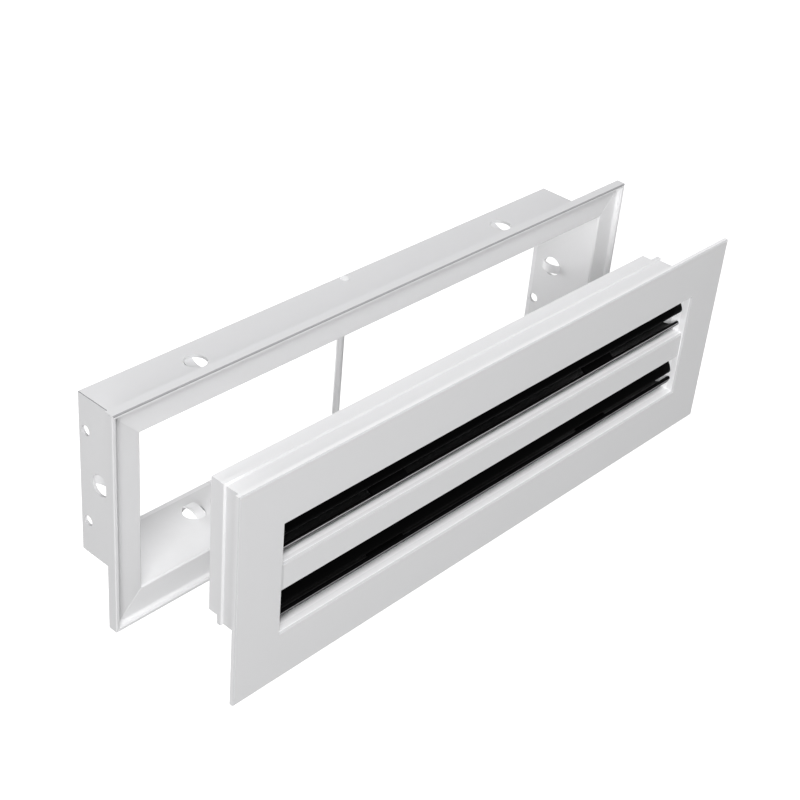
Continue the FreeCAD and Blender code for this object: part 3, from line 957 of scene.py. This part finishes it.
@dataclass
class MountingFrame(Unit):
    """The wall frame: four mitred profiles, their corner keys and the tie rod.

    A mitre runs at 45 degrees from the frame's outer corner.
    """

    coats: Coats = (
        (FRAME_TOP_SHADED_WHITE, ("frame_top",)),
        (FRAME_LEFT_SHADED_WHITE, ("frame_left",)),
        (FRAME_RIGHT_LIT_WHITE, ("frame_right",)),
        (FRAME_WHITE, ("frame_bottom",)),
        (ROD_LIT_WHITE, ("tie_rod",)),
        (KEY_METAL, (
            "frame_key_top_left", "frame_key_top_right",
            "frame_key_bottom_left", "frame_key_bottom_right",
        )),
    )
    body: str = "frame"
    half_length: float = 157.0 * MM
    half_height: float = 51.8 * MM
    mitre: float = math.radians(45.0)
    beads: tuple[Bead, ...] = (
        Bead(0.30 * MM, 1.70 * MM, front=-4.50 * MM, rear=-1.30 * MM),
        Bead(1.75 * MM, 14.40 * MM, front=-2.33 * MM, rear=-1.30 * MM),
    )
    # Dark strips of painted shade in the corner joints of the neck.
    seams: tuple[Bead, ...] = (Bead(13.46 * MM, 14.60 * MM, front=-1.10 * MM, rear=33.40 * MM),)
    bead_width: float = 0.27 * MM
    rod_depth: float = 31.2 * MM
    wall_height: float = 38.4 * MM
    head_radius: float = 1.9 * MM
    head_rise: float = 0.45 * MM
    head_round: float = 0.25 * MM
    head_sides: int = 24

    def dress(self, nodes: dict[str, bpy.types.Object], shop: PaintShop) -> None:
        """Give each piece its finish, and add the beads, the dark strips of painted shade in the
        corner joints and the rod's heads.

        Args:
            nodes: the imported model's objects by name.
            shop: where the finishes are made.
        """
        super().dress(nodes, shop)
        for piece, finish in (
            (self.fill_mitres("frame_mitre_coat", self.beads), FRAME_WHITE),
            (self.fill_mitres("frame_corner_seams", self.seams), SEAM_SHADE_GREY),
            (self.rivet_rod(), FRAME_WHITE),
        ):
            shop.coat(piece, finish)
            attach(piece, self.body)

    def fill_mitres(self, name: str, beads: tuple[Bead, ...]) -> bpy.types.Object:
        """Fill the four mitres with beads that lie a little below the faces.

        Args:
            name: the piece's name.
            beads: the beads in each mitre.

        Returns:
            The beads in the four mitres, as one piece.
        """
        form = bmesh.new()
        for side in Side:
            for level in Level:
                for bead in beads:
                    self.lay_bead(form, bead, side, level)
        return put(form, name)

    def lay_bead(self, form: bmesh.types.BMesh, bead: Bead, side: Side, level: Level) -> None:
        """Lay one bead in one mitre.

        Args:
            form: the bmesh that takes the bead.
            bead: the bead.
            side: end of the frame at which the mitre is.
            level: top or bottom of the frame.
        """
        made = bmesh.ops.create_cube(form, size=1.0)["verts"]
        length = (bead.end - bead.start) * math.sqrt(2.0)
        bmesh.ops.scale(form, verts=made, vec=(length, bead.rear - bead.front, self.bead_width))
        slope = Matrix.Rotation(-side.value * level.value * self.mitre, 3, "Y")
        bmesh.ops.rotate(form, verts=made, cent=(0.0, 0.0, 0.0), matrix=slope)
        inset = (bead.start + bead.end) / 2
        middle = (
            side.value * (self.half_length - inset), (bead.front + bead.rear) / 2,
            level.value * (self.half_height - inset),
        )
        bmesh.ops.translate(form, verts=made, vec=middle)

    def rivet_rod(self) -> bpy.types.Object:
        """Form the tie rod's ends, which are peened over on the outside of the walls.

        Returns:
            Both heads, as one piece.
        """
        head = self.peen_head()
        form = bmesh.new()
        for level in Level:
            form.from_mesh(head)
            made = [vert for vert in form.verts if abs(vert.co.y) < self.rod_depth / 2]
            bmesh.ops.scale(form, verts=made, vec=(1.0, 1.0, level.value))
            middle = (0.0, self.rod_depth, level.value * self.wall_height)
            bmesh.ops.translate(form, verts=made, vec=middle)
        bpy.data.meshes.remove(head)
        bmesh.ops.recalc_face_normals(form, faces=form.faces)
        return put(form, "tie_rod_heads")

    def peen_head(self) -> bpy.types.Mesh:
        """Form one head with its outer rim rounded, in a bmesh of its own.

        A bevel in a bmesh that has had one before orders its faces anew in each run.

        Returns:
            The head's mesh, which stands on the origin.
        """
        form = bmesh.new()
        made = bmesh.ops.create_cone(
            form, cap_ends=True, segments=self.head_sides, radius1=self.head_radius,
            radius2=self.head_radius, depth=self.head_rise,
        )["verts"]
        bmesh.ops.translate(form, verts=made, vec=(0.0, 0.0, self.head_rise / 2))
        outer = {vert for vert in made if vert.co.z > self.head_rise / 2}
        rim = [edge for edge in form.edges if outer.issuperset(edge.verts)]
        bmesh.ops.bevel(form, geom=rim, offset=self.head_round, segments=3, profile=0.5,
                        affect="EDGES", material=-1)
        mesh = bpy.data.meshes.new("tie_rod_head")
        form.to_mesh(mesh)
        form.free()
        return mesh


@dataclass
class DiffuserCore(Unit):
    """The removable core: rim, keys, bar, end plates and their hardware."""

    coats: Coats = (
        (CORE_WHITE, (
            "core_top", "core_bottom", "core_left", "core_right", "end_plate_left",
            "end_plate_right",
        )),
        (BAR_WHITE, ("centre_bar",)),
        (KEY_METAL, (
            "core_key_top_left", "core_key_top_right",
            "core_key_bottom_left", "core_key_bottom_right",
        )),
        (ZINC_STEEL, (
            "pivot_rod_upper", "pivot_rod_lower", "rod_washers_left", "rod_washers_right",
            "bar_screws_left", "bar_screws_right",
        )),
    )


@dataclass
class Deflectors(Unit):
    """The four blades that turn in the slots."""

    coats: Coats = (
        (BLADE_BLACK, ("upper_slot_top_blade", "lower_slot_top_blade")),
        (UPPER_LOW_BLADE, ("upper_slot_low_blade",)),
        (LOWER_LOW_BLADE, ("lower_slot_low_blade",)),
    )


@dataclass(frozen=True)
class Lamp:
    """One square soft light: its name, its place, its edge and its power in watts."""

    name: str
    place: Triple
    size: float
    power: float

    def hang(self) -> None:
        """Hang the light so that it points at the object."""
        lamp = bpy.data.lights.new(self.name, "AREA")
        lamp.shape = "SQUARE"
        lamp.size = self.size
        lamp.energy = self.power
        holder = bpy.data.objects.new(self.name, lamp)
        holder.location = self.place
        holder.rotation_euler = (-Vector(self.place)).to_track_quat("-Z", "Y").to_euler()
        bpy.context.scene.collection.objects.link(holder)


@dataclass
class Studio:
    """Plain pale floor, soft lights and a bright surround."""

    floor_drop: float = 0.30
    floor_reach: float = 6.0
    world_strength: float = 0.14
    lamps: tuple[Lamp, ...] = (
        Lamp("key", (-0.15, -0.75, 2.00), 1.2, 29.0),
        Lamp("side", (-2.20, -1.60, 0.90), 1.4, 69.0),
        Lamp("back", (0.0, 1.90, 1.0), 1.5, 15.0),
        Lamp("right", (0.95, -0.95, 1.60), 1.2, 3.0),
        Lamp("rear", (-0.20, 1.00, 0.05), 0.40, 7.0),
    )

    def build(self, shop: PaintShop) -> None:
        """Set up the floor, the lights and the world.

        Args:
            shop: where the floor's finish is made.
        """
        self.lay_floor(shop)
        for lamp in self.lamps:
            lamp.hang()
        self.surround()

    def lay_floor(self, shop: PaintShop) -> None:
        """Lay a plain floor below the object.

        Args:
            shop: where its finish is made.
        """
        form = bmesh.new()
        bmesh.ops.create_grid(form, x_segments=1, y_segments=1, size=self.floor_reach)
        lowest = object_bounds()[0][2]
        bmesh.ops.translate(form, verts=form.verts, vec=(0.0, 0.0, lowest - self.floor_drop))
        floor = put(form, "studio_floor")
        shop.coat(floor, FLOOR_PAPER)
        floor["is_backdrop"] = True

    def surround(self) -> None:
        """Light the object evenly from all round, behind a backdrop that looks white."""
        world = bpy.data.worlds.new("studio_surround")
        world.use_nodes = True
        graph = Graph(world.node_tree)
        background = world.node_tree.nodes["Background"]
        background.inputs["Color"].default_value = WHITE
        seen = graph.add("ShaderNodeLightPath").outputs["Is Camera Ray"]
        strength = graph.calculate("MAXIMUM", seen, self.world_strength)
        graph.link(strength, background.inputs["Strength"])
        bpy.context.scene.world = world


@dataclass
class Viewpoint:
    """The camera of the photograph, found by fitting it to the object's corners."""

    place: Triple = (-0.4568, -0.3913, 0.3829)
    right: Triple = (0.68037, -0.72855, 0.07944)
    up: Triple = (0.35516, 0.42259, 0.83383)
    forward: Triple = (0.64106, 0.53910, -0.54627)
    lens: float = 72.42
    sensor: float = 36.0
    nearest: float = 0.01
    farthest: float = 50.0

    def build(self) -> None:
        """Create the camera and make it the scene's camera."""
        data = bpy.data.cameras.new("photo_camera")
        data.lens = self.lens
        data.sensor_width = self.sensor
        data.clip_start = self.nearest
        data.clip_end = self.farthest
        camera = bpy.data.objects.new("photo_camera", data)
        axes = Matrix((self.right, self.up, -Vector(self.forward))).transposed()
        camera.matrix_world = Matrix.Translation(self.place) @ axes.to_4x4()
        bpy.context.scene.collection.objects.link(camera)
        bpy.context.scene.camera = camera


def put(form: bmesh.types.BMesh, name: str) -> bpy.types.Object:
    """Turn a finished bmesh into an object at the origin.

    Args:
        form: the bmesh, which is freed.
        name: the object's name.

    Returns:
        The new object.
    """
    mesh = bpy.data.meshes.new(name)
    form.to_mesh(mesh)
    form.free()
    piece = bpy.data.objects.new(name, mesh)
    bpy.context.scene.collection.objects.link(piece)
    return piece


def main() -> None:
    """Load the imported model, dress it and set up the studio and the camera."""
    logging.basicConfig(level=logging.INFO, format="%(message)s")
    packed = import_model()
    shop = PaintShop()
    for unit in (MountingFrame(), DiffuserCore(), Deflectors()):
        unit.dress(packed["nodes"], shop)
    Studio().build(shop)
    Viewpoint().build()
    bpy.context.scene.view_settings.view_transform = "Standard"


if __name__ == "__main__":
    main()
